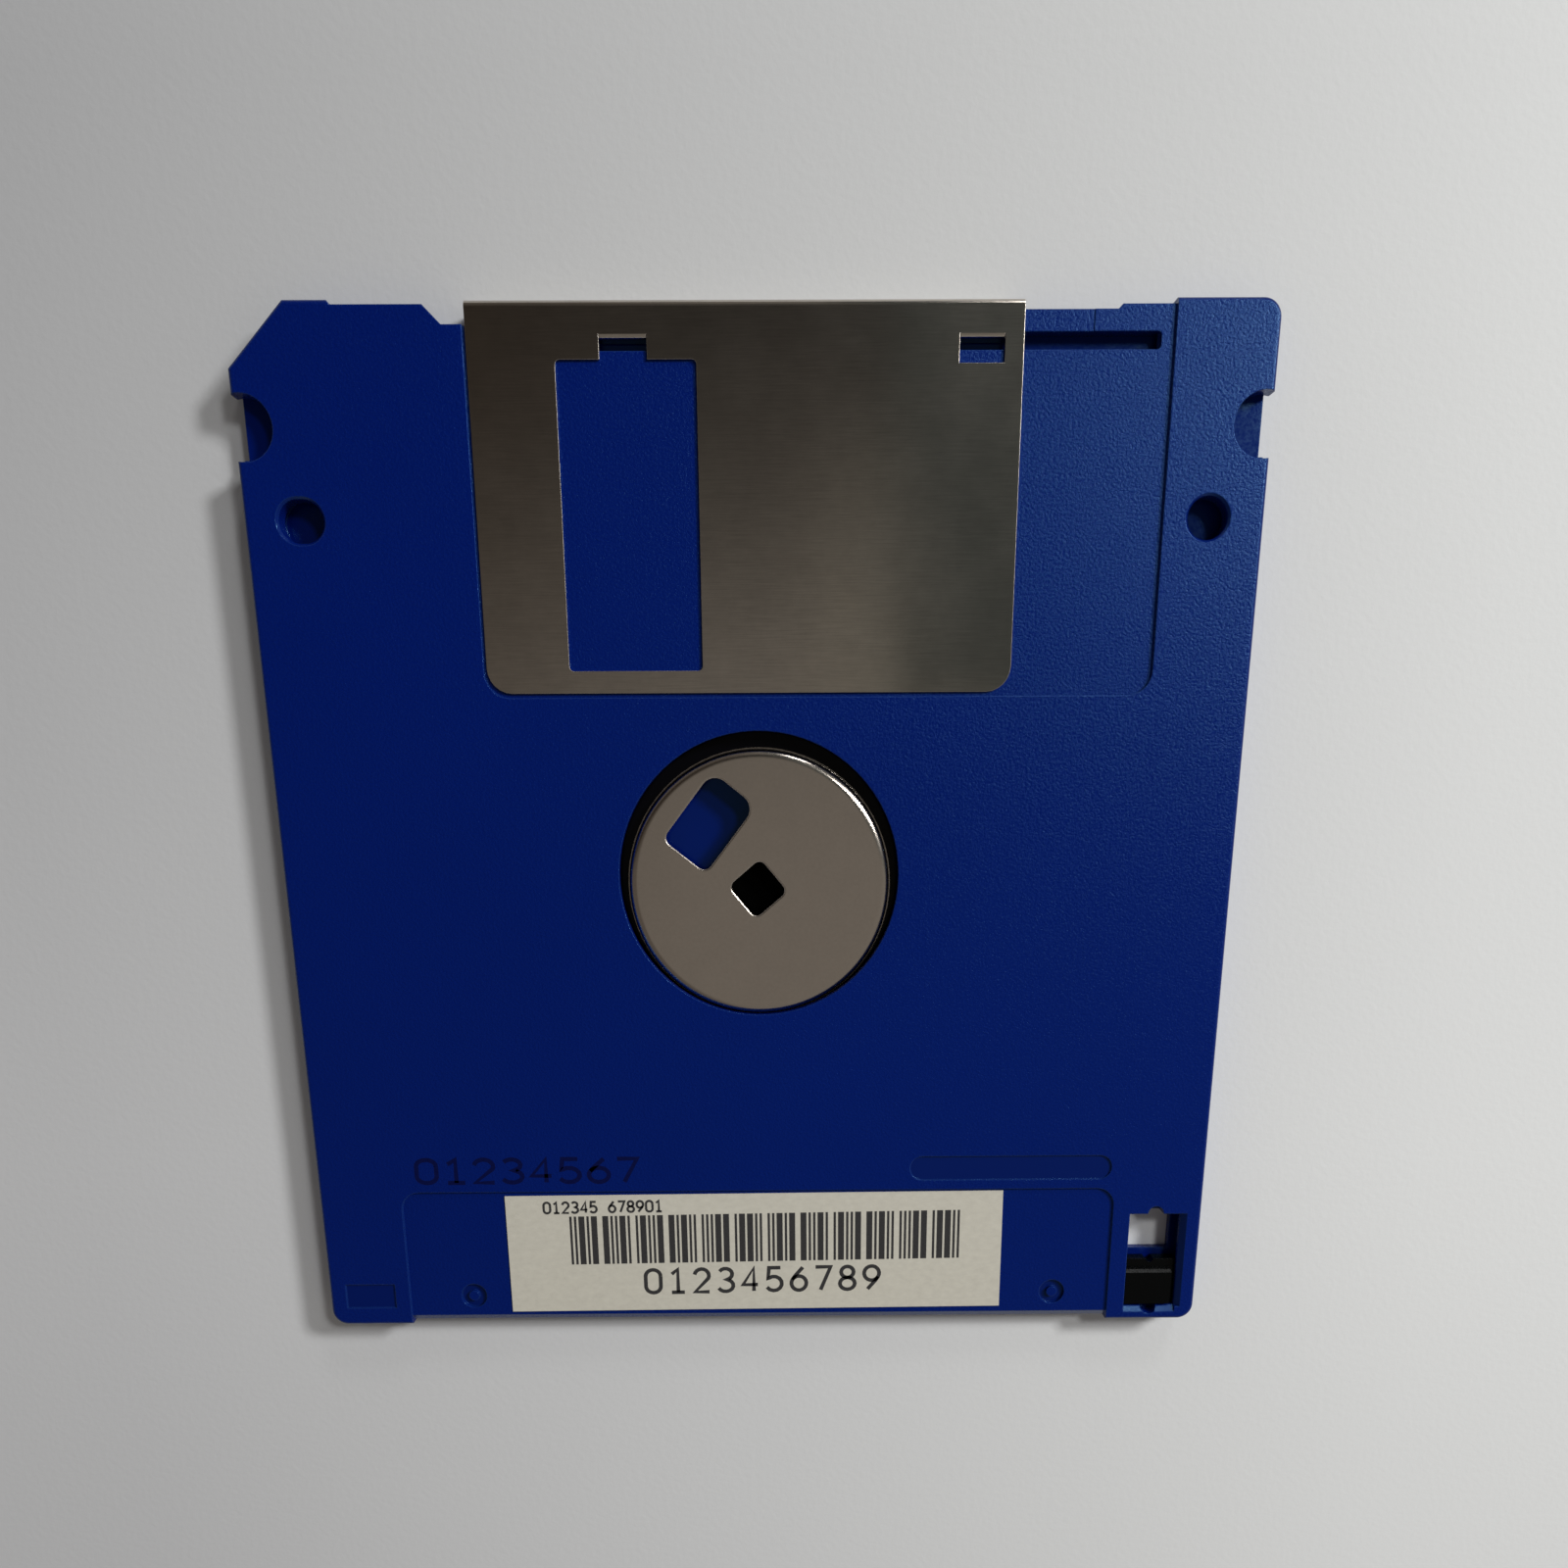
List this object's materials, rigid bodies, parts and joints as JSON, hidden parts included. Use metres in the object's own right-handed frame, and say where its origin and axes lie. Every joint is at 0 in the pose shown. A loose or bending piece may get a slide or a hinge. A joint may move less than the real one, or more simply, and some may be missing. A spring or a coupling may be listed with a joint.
{
  "type": "floppy disk",
  "caption": "Rigid-cased magnetic disk with a sliding metal shutter, a free-turning metal hub and a sliding write-protect tab.",
  "frame": {"origin": "under the middle of the case, on the label side's outer face", "axes": "+Y towards the shutter edge, +X across the case in the direction that the shutter opens, +Z out of the hub side"},
  "size_m": [0.09, 0.094, 0.0033],
  "materials": {
    "case_plastic": "fine matte moulded grain",
    "shutter_steel": "satin rolled stainless sheet",
    "hub_steel": "satin pressed stainless sheet",
    "spring_wire": "drawn wire",
    "magnetic_film": "burnished coated film",
    "adhesive": "dull",
    "liner_fabric": "non-woven",
    "lifter_film": "satin film",
    "black_plastic": "satin moulded",
    "label_paper": "uncoated paper"
  },
  "bodies": {
    "case": {"label_side_shell": "case_plastic", "hub_side_shell": "case_plastic", "shutter_spring": "spring_wire", "hub_side_liner": "liner_fabric", "label_side_liner": "liner_fabric", "liner_lifter": "lifter_film", "spindle_wear_pad": "black_plastic", "serial_label": "label_paper"},
    "shutter": {"shutter": "shutter_steel"},
    "disk": {"magnetic_disk": "magnetic_film", "hub": "hub_steel", "hub_adhesive_ring": "adhesive"},
    "slider": {"write_protect_slider": "black_plastic"}
  },
  "joints": [
    {"name": "shutter_slide", "type": "slide", "parent": "case", "child": "shutter", "axis": [1, 0, 0], "range_m": [0, 0.0125], "stiffness_N_per_m": 40, "springref_m": -0.005, "deforming": ["shutter_spring"]},
    {"name": "disk_spin", "type": "hinge", "parent": "case", "child": "disk", "pos_m": [0, -0.0019, 0.00165], "axis": [0, 0, 1], "continuous": true},
    {"name": "write_protect_slide", "type": "slide", "parent": "case", "child": "slider", "axis": [0, 1, 0], "range_m": [0, 0.0048]}
  ]
}
